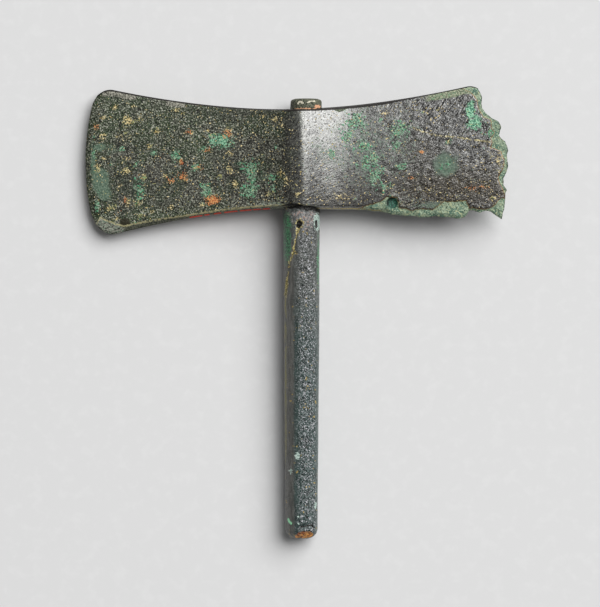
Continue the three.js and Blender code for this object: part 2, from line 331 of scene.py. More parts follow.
TAN_CRUSTS = [
    (-82.2, 23.3, 1.8, 1.4, 1.2), (-74.4, 23.5, 1.2, 1, 1.1), (-76.5, 17, 3, 3.4, 0.9),
    (-86.5, 18.5, 4, 1.4, 0.8), (-90.5, 14.5, 1.6, 2.2, 1), (-88, 9.5, 2.6, 2.6, 0.85),
    (-78, 9.5, 6, 2.4, 0.7), (-83, 5, 2, 1.6, 0.8), (-71, 18, 3, 2, 0.7), (-64, 12.4, 2, 1.4, 1.2),
    (-67, 6, 1.6, 1, 1.1), (-61, 4.4, 1.6, 1, 0.8), (-87, 0.5, 2.4, 0.8, 1),
    (-76.5, 0.5, 2.2, 1.4, 0.9), (-90, -3.5, 1.8, 2.6, 1), (-77, -5, 2.2, 1.6, 1),
    (-69.5, -7.5, 1.4, 2, 1), (-60, -7.3, 2.2, 1, 0.9), (-52.5, -1.4, 2.4, 2, 0.9),
    (-51.7, -7.4, 2, 2.6, 1.1), (-57.5, -9.6, 2.2, 1.6, 1), (-45, -4, 3, 1.6, 0.9),
    (-49.5, 12, 2, 1.6, 1), (-40.8, 12.5, 1, 1, 1), (-38.5, 10.5, 1.6, 0.9, 1),
    (-32.5, 11.4, 2.4, 2.4, 1), (-41, 3.8, 2.6, 1.4, 1), (-31, 2.5, 3, 1.6, 0.9),
    (-39, -18, 3.6, 2.2, 1.5), (-31.3, -5, 1.6, 3.6, 0.95), (-29, -11, 1.4, 2.2, 1.05),
    (-36, -7.4, 1.2, 0.9, 1), (-72, -19, 2.6, 1.6, 1), (-84, -21.5, 3, 1.6, 1), (-77, -19, 2, 3, 0.9),
    (-70, -25, 2, 0.9, 1), (-81, -26, 2, 1, 0.9), (-57, -21, 1.4, 1.6, 1.1), (-66, -23, 1.6, 1, 1),
    (-44, -20, 1.6, 1.2, 1), (-80, -12, 2.4, 6, 0.6), (-16.6, 18.6, 1.1, 0.8, 1.2),
    (-10.8, 17.4, 1.2, 1.6, 1), (-8, 14, 1, 1.6, 0.8), (-55, 21.6, 2.2, 1.2, 1), (-52, 20, 1.2, 0.8, 1),
    (-20, 21.4, 3.4, 0.6, 0.8), (-9, -6, 1.4, 3, 0.9), (-6, -10, 1.4, 3, 0.85), (-3, 12, 1.2, 5, 0.5),
    (-14, -15.4, 3, 1.4, 0.9), (-1, -16, 3, 1.6, 0.8), (46, -19.8, 6, 1.6, 0.7), (18, -17, 7, 2.2, 0.8),
    (52.6, 2.8, 1.6, 0.8, 1.3), (48, -8.3, 1.6, 0.7, 1.2), (37, 20, 2, 1, 1), (55, 19.6, 1.4, 1.4, 0.7),
    (64.5, 7.4, 1.2, 1, 1), (74, -13.2, 3, 1, 1.1), (80, -12.4, 3.4, 0.7, 1), (83, 1, 4, 6, 0.5),
    (86, 0, 1.6, 5, 0.8), (60, 22, 5, 1.6, 0.6), (84, -18, 3, 2, 0.7),
]
ORANGE_RUSTS = [
    (-39, -18, 3.4, 2, 1.4), (-49.7, 12.4, 1.6, 1.4, 1), (-71.3, 7.2, 1.2, 0.9, 1.3),
    (-90.4, 14.4, 1.2, 2, 1), (-52, -5, 4, 4.4, 1), (-57, -8.6, 3, 2, 0.9), (-44, -3.5, 3, 2, 0.8),
    (-41.5, 4.2, 2.4, 1.6, 0.9), (-33, 11, 3, 2.4, 0.8), (-80.6, -23, 1.6, 1, 1.1),
    (-78.7, -18, 1.6, 3, 0.9), (-72, -8, 2, 2.6, 0.7), (-61, 1.6, 2, 2, 0.8),
    (17.4, 19.6, 0.9, 0.9, 1.2), (21.2, 17, 1.4, 2.2, 1), (52.6, 2.8, 2, 1, 0.8), (48, -8.3, 2, 1, 0.9),
    (76.6, -12.8, 7, 1.4, 0.9), (74, 12.6, 0.9, 1.4, 1.1), (80, -17.8, 3, 1, 1),
    (9.6, -6.5, 1.6, 0.8, 0.8), (-8, -15, 3, 1.2, 0.9), (13.6, 0, 1, 0.9, 1), (88, -14, 1, 6, 0.8),
    (58, 19, 1.4, 0.9, 0.8), (-94, 10, 1, 5, 0.6),
]
# Three of the blooms are a stronger, glassy green.
EMERALDS = [(74, 20.4, 3, 5, 1.2), (76.2, 15.4, 4, 3.6, 1.2), (-35.8, 7.8, 6, 4, 0.7)]
# The tone of the skin drifts over each blade: greener or darker on the whole one, browner on the other.
OLIVE_SHADES = [
    (-45, 21, 34, 5, 1), (-66, 12, 16, 8, 0.8), (-58, -26, 22, 6, 0.9), (-42, 4, 9, 9, 0.5),
    (-90, -4, 5, 24, 0.9),
]
# Dark patches: darker skin, except the two long ones by the left side of the ridge, which are painted shade
# where the flank turns away from the lamp.
DARK_TONES_AND_PAINTED_SHADE = [
    (-28, 20, 22, 3, 0.8), (-5.5, 10, 2.6, 16, 1), (-5, -8, 2.4, 14, 0.8), (-78, -10, 6, 8, 0.8),
    (-60, -12, 12, 8, 0.5), (-32, -5, 7, 9, 0.7), (-70, 4, 16, 6, 0.4), (-12, -2, 6, 10, 0.35),
]
# Brown patches along the lower part of the broken blade: its browner skin, with painted shade darkening it
# towards the lower edge.
BROWN_TONES_AND_PAINTED_SHADE = [(66, -13, 30, 7.5, 1.1), (52, 2, 8, 8, 0.5), (40, -22, 20, 3, 0.6), (20, -19, 14, 2.5, 0.5)]
# A hair crack across the broken blade.
HAIR_CRACK = [(49, 13.8), (51.5, 12.4), (56, 10.9), (61.6, 9.8), (66, 9.6), (75.4, 8.3), (82.9, 7.3)]
# Fine dots of lime, thickest along the lower edge by the socket.
LIME_DOTS = [
    (4, -18, 26, 4, 1), (14, -14, 16, 6, 0.8), (-4, -9, 5, 10, 0.9), (-13, 17, 9, 4, 1),
    (-6, 8, 5, 12, 0.7), (28, 6, 12, 14, 0.7), (-24, 12, 20, 12, 0.6), (52, -16, 30, 6, 0.7),
    (80, -4, 10, 16, 0.8), (46, 21, 16, 3, 0.8), (-40, -10, 60, 18, 0.55), (14, 4, 10, 14, 0.5),
]
# Short strokes of red paint on the narrow lower side, as (middle, width).
PAINT_STROKES = [
    (-46.4, 5.6), (-41.6, 2.4), (-36.8, 3.4), (-31, 6), (-24.5, 5.2), (-19.4, 3.6), (-15.4, 3.4),
]


def patches(x, y, places):
    """How strongly the patches in a list cover each point: half their strength at their outline."""
    cover = np.zeros(x.shape)
    for across, up, wide, high, strength in places:
        reach = ((x - across) / wide) ** 2 + ((y - up) / high) ** 2
        cover = np.maximum(cover, strength * np.exp(-0.7 * reach))
    return cover


def mesh_points(mesh):
    flat = np.empty(len(mesh.vertices) * 3, np.float32)
    mesh.vertices.foreach_get("co", flat)
    return flat.reshape(-1, 3).astype(float)


def keep_mask(mesh, name, values):
    mesh.attributes.new(name, "FLOAT", "POINT").data.foreach_set("value", values.astype(np.float32))


level = mesh_points(head_skin) / MM
level[:, 2] -= SOCKET_HEIGHT
level = level @ np.array(roll.to_3x3())
across, up, through = level.T
plan_x = across * math.cos(ROLL)
front = through > 0
# The back has patches of the same kinds in other places.
spot_x = np.where(front, plan_x, plan_x * 0.92 - 4)
spot_y = np.where(front, up, -up)
from_lower_edge = up - lower_edge(plan_x / np.where(plan_x < 0, *LOWER_REACH))[1]
from_upper_edge = upper_edge(plan_x / np.where(plan_x < 0, *UPPER_REACH))[1] - up
ragged = 0.8 * mottle(across, up, through, 4, 41, 2)
top_band = ease(plan_x, 48, 62) * ease(3.4 - from_upper_edge + ragged, -0.8, 0.8)
lump = ease(2.2 - near_line(plan_x, up, [(14.5, 22.6), (16.8, 21.6), (19.5, 22.8)]), 0.6, 1.4)
corner = ease(-plan_x, 76, 80) * ease(LOWER_BEVEL[2] + 0.6 - from_lower_edge, 0, 0.8)
worn_top = ease(from_upper_edge, 3.4, 2.2) * np.maximum(ease(8 - np.abs(plan_x + 80.5), -1, 1.6),
                                                       ease(4.4 - np.abs(plan_x + 55.2), -1, 1))
lumps = ease(6.4 - np.abs(plan_x + 14), -1, 1) * ease(3 - from_lower_edge + 1.4 * ragged, -0.4, 0.4)
from_pit = np.hypot(plan_x - PIT_X, up - PIT_Y)
# A dark arc over the upper side of the pit: painted shadow inside it.
pit_shadow_arc = ease(0.7 - np.abs(from_pit - 2.2), 0, 0.4) * ease(up - PIT_Y - plan_x + PIT_X, -0.5, 1.5)
notch = ease(2.6 - np.hypot(plan_x + 78, (up + 28) * 1.2) + 0.3 * ragged, -0.2, 0.5)
crack = ease(0.6 - near_line(plan_x, up, HAIR_CRACK) + 0.12 * mottle(across, up, through, 2, 44), 0, 0.4)
strokes = np.zeros(across.shape)
for middle, width in PAINT_STROKES:
    strokes = np.maximum(strokes, ease(width / 2 - np.abs(plan_x - middle), -0.2, 0.3))
masks = {
    "bloom": patches(spot_x + 0.6 * ragged, spot_y, GREEN_BLOOMS),
    "film": patches(spot_x, spot_y, GREEN_FILMS),
    "crust": np.maximum(patches(spot_x, spot_y, TAN_CRUSTS), 0.2 * ease(-plan_x, 30, 80)),
    "rust": patches(spot_x, spot_y, ORANGE_RUSTS),
    "emerald": patches(spot_x, spot_y, EMERALDS),
    "olive": patches(spot_x, spot_y, OLIVE_SHADES),
    "dark_and_shade": patches(spot_x, spot_y, DARK_TONES_AND_PAINTED_SHADE),
    "brown_and_shade": patches(spot_x, spot_y, BROWN_TONES_AND_PAINTED_SHADE),
    "skin": np.where(front, skin_cover(across, up), 1),
    "granular": np.where(front, top_band, 0),
    "grey": np.where(front, np.maximum.reduce([corner * (1 - notch), lumps, lump]), 0),
    "ash": np.where(front, worn_top, 0),
    "groove": np.where(front, ease(0.6 - near_line(plan_x, up, MOUTH_GROOVE) + 0.3 * ragged, 0, 0.4), 0),
    "dots": patches(spot_x, spot_y, LIME_DOTS),
    "break_edge": across_at(BROKEN_END, up) - plan_x,
    "smooth": np.where(front, notch, 0),
    "pit": np.where(front, ease(2.7 - from_pit, 0, 0.5), 0),
    "pit_shadow_arc": np.where(front, pit_shadow_arc, 0),
    "lump": np.where(front, lump, 0),
    "crack": np.where(front, crack, 0),
    "crest": from_lower_edge - np.interp(plan_x, LOWER_BEVEL_AT, LOWER_BEVEL),
    "low_edge": from_lower_edge,
    "top_edge": from_upper_edge,
    "paint": strokes * ease(through, -1.6, -1),
}
for mask, values in masks.items():
    keep_mask(head_skin, mask, values)


class Finish:
    """A material, and the few kinds of node that its colours and relief are mixed from."""

    def __init__(self, name):
        self.material = bpy.data.materials.new(name)
        self.material.use_nodes = True
        self.tree = self.material.node_tree
        self.shader = self.tree.nodes["Principled BSDF"]
        self.place = self.add("TexCoord").outputs["Object"]

    def add(self, kind, inputs=None, **settings):
        node = self.tree.nodes.new("ShaderNode" + kind)
        for name, value in settings.items():
            setattr(node, name, value)
        for key, value in (inputs or {}).items():
            self.put(node.inputs[key], value)
        return node

    def put(self, socket, value):
        if isinstance(value, bpy.types.NodeSocket):
            self.tree.links.new(value, socket)
        else:
            socket.default_value = value

    def mask(self, name):
        return self.add("Attribute", attribute_name=name).outputs["Fac"]

    def grain(self, size, detail=3.0, harsh=0.6, stretch=(1, 1, 1), turn=0.0, warp=0.0, shift=0.0):
        """Noise from about -1 to 1 whose blotches are `size` millimetres across."""
        where = self.place
        if shift:
            where = self.add("Mapping", {"Vector": where, "Location": (shift, 0, shift)}).outputs[0]
        if turn:
            where = self.add("Mapping", {"Vector": where, "Rotation": (0, 0, -turn)}).outputs[0]
        if stretch != (1, 1, 1):
            where = self.add("Mapping", {"Vector": where, "Scale": stretch}).outputs[0]
        noise = {"Vector": where, "Scale": 1 / (size * MM), "Detail": detail, "Roughness": harsh,
                 "Distortion": warp}
        flat = self.add("TexNoise", noise).outputs["Fac"]
        return self.add("MapRange", {"Value": flat, "From Min": 0.3, "From Max": 0.7, "To Min": -1.0,
                                     "To Max": 1.0}, clamp=False).outputs["Result"]

    def sum(self, first, second, how="ADD"):
        return self.add("Math", {0: first, 1: second}, operation=how).outputs[0]

    def times(self, first, second):
        return self.sum(first, second, "MULTIPLY")

    def size_of(self, value):
        return self.add("Math", {0: value}, operation="ABSOLUTE").outputs[0]

    def step(self, value, low, high, start=0.0, end=1.0):
        """A smooth change from start to end while the value goes from low to high."""
        span = {"Value": value, "From Min": low, "From Max": high, "To Min": start, "To Max": end}
        return self.add("MapRange", span, interpolation_type="SMOOTHSTEP").outputs["Result"]

    def mix(self, share, first, second):
        node = self.add("Mix", data_type="RGBA")
        self.put(node.inputs["Factor"], share)
        self.put(node.inputs["A"], first if isinstance(first, bpy.types.NodeSocket) else shade(*first))
        self.put(node.inputs["B"], second if isinstance(second, bpy.types.NodeSocket) else shade(*second))
        return node.outputs["Result"]

    def raised(self, height, depth):
        """A bump that stands `depth` millimetres high where the height is 1."""
        return self.add("Bump", {"Height": height, "Distance": depth * MM, "Strength": 1.0}).outputs["Normal"]


def shade(red, green, blue):
    """A colour given as on a screen, 0 to 255, as the shader wants it."""
    parts = [part / 255 for part in (red, green, blue)]
    line = [((part + 0.055) / 1.055) ** 2.4 if part > 10 / 255 else part / 12.92 for part in parts]
    return (*line, 1.0)


def bronze_patina():
    finish = Finish("bronze_patina")
    along = finish.add("SeparateXYZ", {0: finish.place}).outputs["X"]
    broken_side = finish.step(along, -0.0085, 0.0035)
    whole_side = finish.step(along, 0.006, -0.006)
    grit = finish.add("Mix", {"Factor": broken_side, "A": 1.0, "B": finish.step(along, 0.02, 0.058, 0.22, 1)},
                      data_type="FLOAT").outputs["Result"]
    mottling = finish.grain(3.2, 2, 0.55)
    speck = finish.grain(0.62, 1, 0.6)
    dust = finish.grain(0.7, 1, 0.6, shift=0.3)
    fleck = finish.grain(0.95, 1, 0.5, shift=0.6)
    dot = finish.grain(0.7, 0, 0.5, shift=1.2)
    drift = finish.grain(9, 3, 0.55, shift=1.5)
    steep = finish.grain(0.72, 1, 0.5, stretch=(0.26, 1, 1), turn=math.radians(52))
    gentle = finish.grain(0.72, 1, 0.5, stretch=(0.26, 1, 1), turn=math.radians(24))
    high = finish.step(finish.add("SeparateXYZ", {0: finish.place}).outputs["Y"], -0.002, 0.008)
    fibres = finish.add("Mix", {"Factor": high, "A": gentle, "B": steep}, data_type="FLOAT").outputs["Result"]

    whole = finish.mix(finish.step(mottling, -0.9, 0.7), (56, 55, 50), (92, 92, 82))
    whole = finish.mix(finish.step(drift, 0.4, -0.5, 0, 0.8), whole, (60, 76, 50))
    whole = finish.mix(finish.times(finish.mask("olive"), 0.75), whole, (58, 74, 44))
    whole = finish.mix(finish.step(speck, 0.0, 0.8), whole, (176, 178, 162))
    whole = finish.mix(finish.step(dust, 0, -0.7), whole, (14, 17, 12))
    # Darker where the dark patches lie: darker skin, and painted shade beside the ridge.
    whole = finish.mix(finish.times(finish.mask("dark_and_shade"), 0.65), whole, (40, 39, 37))
    broken = finish.mix(finish.step(mottling, -1, 1), (102, 102, 101), (124, 124, 122))
    broken = finish.mix(finish.times(finish.step(fibres, -0.1, -0.7), grit), broken, (56, 55, 54))
    broken = finish.mix(finish.times(finish.step(fibres, 0.3, 0.9), grit), broken, (150, 150, 148))
    # Browner and darker where the brown patches lie: browner skin, and painted shade towards the lower edge.
    broken = finish.mix(finish.times(finish.mask("brown_and_shade"), 0.7), broken, (70, 63, 50))
    fine = finish.sum(finish.times(grit, -0.5), 0.9)
    broken = finish.mix(finish.times(finish.step(speck, 0.2, 0.9), 0.36), broken, (174, 174, 172))
    broken = finish.mix(finish.times(finish.step(dust, -0.25, -0.9), fine), broken, (22, 21, 18))
    colour = finish.mix(broken_side, whole, broken)

    edge = finish.sum(finish.times(fleck, 0.3), finish.times(mottling, 0.26))
    film = finish.sum(finish.mask("film"), finish.times(mottling, 0.12))
    crumbly = finish.times(finish.times(speck, broken_side), finish.step(along, 0.058, 0.05, 0, 0.4))
    film = finish.sum(film, crumbly)
    film = finish.step(film, 0.3, 0.7)
    film_colour = finish.mix(finish.step(speck, -0.8, 0.8), (76, 100, 82), (106, 130, 110))
    colour = finish.mix(finish.times(film, 0.8), colour, film_colour)

    bloom = finish.step(finish.sum(finish.mask("bloom"), edge), 0.42, 0.8, 0, 0.92)
    green = finish.mix(finish.step(speck, -0.9, 0.9), (62, 98, 74), (158, 192, 160))
    green = finish.mix(finish.step(fleck, 0.3, 0.9), green, (84, 166, 122))
    green = finish.mix(finish.step(dust, -0.1, -0.6), green, (38, 50, 38))
    bright = finish.mix(finish.step(speck, -0.5, 0.5), (16, 108, 78), (166, 222, 184))
    green = finish.mix(finish.times(finish.mask("emerald"), 0.9), green, bright)
    colour = finish.mix(bloom, colour, green)

    # Thin curls of lime, broken into short pieces, and fine dots of it.
    curl = finish.size_of(finish.grain(2.2, 1, 0.5, warp=0.8, shift=0.9))
    curl = finish.times(finish.step(curl, 0.26, 0.1), finish.step(fleck, -0.7, -0.2))
    clump = finish.step(finish.sum(finish.mask("crust"), finish.times(mottling, 0.3)), 0.5, 0.72)
    crust = finish.times(curl, clump)
    solid = finish.step(finish.sum(finish.mask("crust"), finish.times(speck, 0.5)), 1.0, 1.2)
    crust = finish.sum(crust, solid, "MAXIMUM")
    dots = finish.step(finish.sum(dot, finish.times(finish.mask("dots"), 0.34)), 1.4, 1.5)
    crust = finish.sum(crust, dots, "MAXIMUM")
    tan = finish.mix(finish.step(dust, -0.6, 0.6), (174, 154, 94), (252, 232, 176))
    tan = finish.mix(finish.step(mottling, 0.1, 0.8), tan, (164, 164, 108))
    orange = finish.mix(finish.step(dust, -0.6, 0.6), (176, 100, 56), (228, 164, 104))
    rust = finish.step(finish.sum(finish.mask("rust"), finish.times(fleck, 0.25)), 0.4, 0.65)
    colour = finish.mix(crust, colour, finish.mix(rust, tan, orange))
    colour = finish.mix(finish.mask("smooth"), colour, (50, 48, 32))

    sandy = finish.mix(finish.step(speck, -0.7, 0.7), (78, 92, 70), (176, 180, 152))
    sandy = finish.mix(finish.step(fleck, 0.3, 0.8), sandy, (120, 148, 116))
    granular = finish.step(finish.mask("granular"), 0.3, 0.7)
    colour = finish.mix(granular, colour, sandy)
    stony = finish.mix(finish.step(speck, -0.7, 0.7), (60, 66, 56), (168, 168, 154))
    stony = finish.mix(finish.step(dust, 0.1, 0.7), stony, (112, 130, 112))
    stony = finish.mix(finish.step(dust, -0.3, -0.9), stony, (36, 38, 30))
    grey = finish.step(finish.mask("grey"), 0.3, 0.7)
    mossy = finish.mix(finish.step(speck, -0.6, 0.6), (40, 50, 36), (112, 124, 92))
    stony = finish.mix(finish.step(finish.mask("lump"), 0.2, 0.6), stony, mossy)
    colour = finish.mix(grey, colour, stony)
    ashy = finish.mix(finish.step(speck, -0.8, 0.6), (78, 78, 68), (168, 166, 152))
    ashy = finish.mix(finish.step(dust, -0.3, -0.8), ashy, (40, 40, 34))
    ash = finish.step(finish.sum(finish.mask("ash"), finish.times(mottling, 0.3)), 0.4, 0.7)
    colour = finish.mix(ash, colour, ashy)

    pale = finish.mix(finish.step(mottling, -0.7, 0.7), (84, 118, 100), (144, 160, 134))
    pale = finish.mix(finish.step(speck, -0.1, -0.8), pale, (54, 78, 62))
    pale = finish.mix(finish.step(dust, 0.2, 0.8), pale, (178, 196, 166))
    pale = finish.mix(finish.step(fleck, 0.4, 0.9), pale, (170, 178, 140))
    bare = finish.step(finish.mask("skin"), 0.55, 0.4)
    skin = finish.mask("skin")
    rim = finish.times(finish.step(skin, 0.15, 0.4), finish.step(skin, 0.9, 0.6))
    colour = finish.mix(bare, colour, pale)
    pit = finish.mix(finish.step(speck, -0.5, 0.6), (16, 48, 38), (52, 110, 90))
    colour = finish.mix(finish.mask("pit"), colour, pit)
    # The dark arc in the pit is painted shadow.
    colour = finish.mix(finish.mask("pit_shadow_arc"), colour, (12, 34, 26))
    colour = finish.mix(finish.times(rim, 0.8), colour, (124, 94, 52))

    # The arris of the lower bevel is rubbed pale; the upper edge is outlined with dirt.
    bevel = finish.mix(finish.step(speck, -0.7, 0.7), (56, 60, 50), (110, 112, 96))
    below = finish.times(finish.step(finish.mask("crest"), 0.1, -0.2), finish.step(grey, 0.6, 0.3))
    colour = finish.mix(finish.times(below, whole_side), colour, bevel)
    crest = finish.size_of(finish.mask("crest"))
    crest = finish.step(finish.sum(crest, finish.times(dust, 0.2)), 0.5, 0.25)
    crest = finish.times(crest, finish.times(whole_side, finish.step(fleck, -0.7, -0.2)))
    colour = finish.mix(crest, colour, (176, 170, 130))
    crack = finish.times(finish.step(finish.mask("crack"), 0.3, 0.7), finish.step(fleck, -0.5, 0.3))
    colour = finish.mix(crack, colour, (160, 152, 118))
    lip = finish.size_of(finish.sum(finish.mask("low_edge"), -0.4))
    lip = finish.times(finish.step(lip, 0.35, 0.15), finish.step(along, 0.04, 0.03))
    lip = finish.times(lip, finish.times(broken_side, finish.step(fleck, -0.7, -0.2)))
    colour = finish.mix(lip, colour, (160, 146, 98))
    # Near-black along the groove under the socket's lip: painted shade in the groove.
    colour = finish.mix(finish.step(finish.mask("groove"), 0.3, 0.7), colour, (16, 15, 10))
    reach = finish.step(along, 0.052, 0.034, 0.5, 1.5)
    reach = finish.sum(reach, finish.step(along, -0.012, -0.004, 0.5, 1), "MULTIPLY")
    top_edge = finish.sum(finish.mask("top_edge"), finish.times(dust, 0.12))
    outline = finish.step(finish.sum(top_edge, reach, "SUBTRACT"), 0.15, -0.15)
    break_edge = finish.step(finish.sum(finish.mask("break_edge"), finish.times(dust, 0.15)), 0.6, 0.3)
    outline = finish.sum(outline, finish.times(break_edge, 0.6), "MAXIMUM")
    colour = finish.mix(outline, colour, (20, 15, 8))
    paint = finish.times(finish.mask("paint"), finish.step(finish.mask("low_edge"), 0.6, 0.4))
    paint = finish.step(finish.sum(paint, finish.times(dust, 0.2)), 0.4, 0.6)
    colour = finish.mix(paint, colour, (224, 74, 52))

    dull = finish.sum(finish.sum(bloom, crust, "MAXIMUM"), finish.sum(bare, paint, "MAXIMUM"), "MAXIMUM")
    dull = finish.sum(dull, finish.sum(film, outline, "MAXIMUM"), "MAXIMUM")
    dull = finish.sum(dull, finish.sum(finish.sum(granular, ash), grey, "MAXIMUM"), "MAXIMUM")
    finish.put(finish.shader.inputs["Base Color"], colour)
    shine = finish.step(broken_side, 0, 1, 0.35, 0.8)
    finish.put(finish.shader.inputs["Metallic"], finish.times(shine, finish.step(dull, 0, 1, 1, 0)))
    rough = finish.sum(finish.step(broken_side, 0, 1, 0.2, 0), finish.step(along, 0.02, 0.05, 0.31, 0.4))
    rough = finish.sum(rough, finish.times(mottling, 0.03))
    finish.put(finish.shader.inputs["Roughness"], finish.sum(rough, finish.times(dull, 0.25)))
    height = finish.sum(finish.times(speck, 0.25), finish.times(dust, 0.2))
    height = finish.times(finish.sum(height, finish.times(fibres, finish.times(broken_side, 0.5))), grit)
    height = finish.sum(height, finish.times(finish.sum(bloom, crust), 0.5))
    finish.put(finish.shader.inputs["Normal"], finish.raised(height, 0.12))
    return finish.material


head_skin.materials.clear()
head_skin.materials.append(bronze_patina())
head_skin.shade_smooth()
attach(head, "root")
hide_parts("axe_head")


# ---- The haft ---------------------------------------------------------------------------------
# A straight round rod, worked from one stick and driven through the socket, so that a short stub
# stands out above the head. A thick dark coat hides the wood except where it has chipped.
HAFT_AROUND = 144
HAFT_ALONG = 430
# Distances run along the haft's axis, 0 at the middle of the socket.
HAFT_TOP = 26.5
MOUTH = -23
HAFT_FOOT = -167.1
RADIUS_AT_TOP = 6.8
RADIUS_AT_MOUTH = 8.15
RADIUS_AT_FOOT = 7.15
TENON_LEAN = 2
FOOT_ROUNDING = 4.5
TOP_ROUNDING = 1.6
FLAKE_START = -163.3
FLAKE_HEIGHT = 7.2
FLAKE_SLOPE = math.radians(52)
FLAKE_LEAN = 0.21
# Damage to the coat, as seen from above: a hole with a crack running down from it, a slot, and two
# small rings near the foot.
HOLE = [(-1.2, -28), (-0.6, -28.4), (-1.4, -29.4)]
HAFT_CRACK = [(-1.4, -29.4), (-1.9, -31.5), (-2.4, -34), (-3.4, -40), (-5.2, -45), (-5.8, -50), (-7, -60)]
SLOT = [(6.5, -27.4), (6.5, -29.8)]
RINGS = [(-1.2, -157), (-1.1, -159.2)]
FOOT_CRACK = [(-0.2, -161.4), (2, -161.2), (3.3, -160.7), (4.6, -161), (5.5, -162.2)]

# Stains on the coat, as (across, along, half width, half length, strength), and two pale marks on
# the stub.
SMEARS = [(1, -24.4, 7, 1.4, 1), (2, -27, 5, 4, 0.9), (-4, -26, 1.6, 3, 0.7)]
HAFT_GREENS = [(-6.6, -36, 2, 9, 1), (-6, -27, 2.4, 4, 0.9), (7.4, -45, 0.8, 14, 0.7)]
STUB_CRESCENT = [(-1.6, 24.2), (-0.9, 25), (0, 25), (0.6, 24.3)]
STUB_SWIRL = [(2.6, 24.6), (4, 25.2), (5.8, 25.3)]


def haft_radius(y):
    """Two straight tapers that meet at the socket's mouth."""
    above = RADIUS_AT_MOUTH + (y - MOUTH) * (RADIUS_AT_TOP - RADIUS_AT_MOUTH) / (HAFT_TOP - MOUTH)
    below = RADIUS_AT_MOUTH + (y - MOUTH) * (RADIUS_AT_MOUTH - RADIUS_AT_FOOT) / (MOUTH - HAFT_FOOT)
    return np.where(y > MOUTH, above, below)


def tenon_lean(y):
    return TENON_LEAN * ease(y, MOUTH, HAFT_TOP)


def wrinkle_and_sheen_band(x):
    """The coat has drawn up into wrinkles along a band of the haft's front; dark_coat paints highlight and
    shade on the same band.
    """
    return ease(x, -3.6, 2.2) * ease(-x, -7.4, -5)


def haft_relief(x, y, z):
    """How far the coat stands out from the turned rod."""
    outside = ease(np.maximum(-22.5 - y, y - 21), 0, 1)
    grain = 0.05 * mottle(x, y / 9, z, 1.6, 51, 3) + 0.1 * mottle(x, y / 4, z, 9, 53, 2)
    wrinkles = (0.04 + 0.07 * wrinkle_and_sheen_band(x)) * mottle(x, y / 1.4, z, 1.5, 52, 2)
    dent = -1.4 * ease(1.3 - near_line(x, y, HOLE), 0, 0.8)
    dent = dent - 0.45 * ease(0.6 - near_line(x, y, HAFT_CRACK), 0, 0.4)
    dent = dent - 0.7 * ease(0.8 - near_line(x, y, SLOT), 0, 0.6)
    dent = dent - 0.5 * ease(0.7 - near_line(x, y, FOOT_CRACK), 0, 0.5)
    for ring_x, ring_y in RINGS:
        from_ring = np.hypot(x - ring_x, y - ring_y)
        dent = dent - 0.6 * ease(0.7 - from_ring, 0, 0.5) + 0.2 * np.exp(-((from_ring - 1) / 0.4) ** 2)
    return outside * (grain + wrinkles + np.where(z > 0, dent, 0))


def haft_mesh():
    y = np.linspace(HAFT_FOOT, HAFT_TOP, HAFT_ALONG + 1)
    turn = np.linspace(0, 2 * np.pi, HAFT_AROUND + 1)[:-1]
    y, turn = np.meshgrid(y, turn, indexing="ij")
    radius = haft_radius(y)
    in_foot = np.clip(HAFT_FOOT + FOOT_ROUNDING - y, 0, FOOT_ROUNDING) / FOOT_ROUNDING
    in_top = np.clip(y - HAFT_TOP + TOP_ROUNDING, 0, TOP_ROUNDING) / TOP_ROUNDING
    foot_round = np.sqrt(np.clip(1 - in_foot ** 2, 0, 1))
    top_round = np.sqrt(np.clip(1 - in_top ** 2, 0, 1))
    radius = radius - FOOT_ROUNDING * (1 - foot_round) - TOP_ROUNDING * (1 - top_round)
    ring_x, ring_z = np.sin(turn), np.cos(turn)
    radius = radius + haft_relief(radius * ring_x, y, radius * ring_z)
    x, z = radius * ring_x, radius * ring_z
    # A flake split off the foot leaves a sloping face, turned a little to one side.
    over = (z - FLAKE_HEIGHT) * math.cos(FLAKE_SLOPE)
    over = over - (y - FLAKE_START - FLAKE_LEAN * x) * math.sin(FLAKE_SLOPE)
    over = np.clip(over + 0.25 * mottle(x, y, z, 2.4, 54, 2), 0, None) * ease(-y, 155, 160)
    z = z - over * math.cos(FLAKE_SLOPE)
    points = np.stack([x + tenon_lean(y), y + over * math.sin(FLAKE_SLOPE), z], -1)
    number = np.arange(y.size).reshape(y.shape)
    wall = grid_faces(np.concatenate([number, number[:, :1]], 1))
    faces = [*wall.tolist(), number[0].tolist(), number[-1, ::-1].tolist()]
    return points.reshape(-1, 3), faces, np.minimum(over, 1).ravel()


# The haft slopes down through the socket until its foot is on the table.
FOOT_REACH = 162.6
FOOT_RADIUS = 7.18
slope = math.asin(SOCKET_HEIGHT / math.hypot(FOOT_REACH, FOOT_RADIUS)) - math.atan2(FOOT_RADIUS, FOOT_REACH)
slope = Matrix.Rotation(slope, 4, "X")
haft_points, haft_faces, split = haft_mesh()
haft = mesh_object("haft_coated", settle(haft_points, slope), np.array(haft_faces, object))

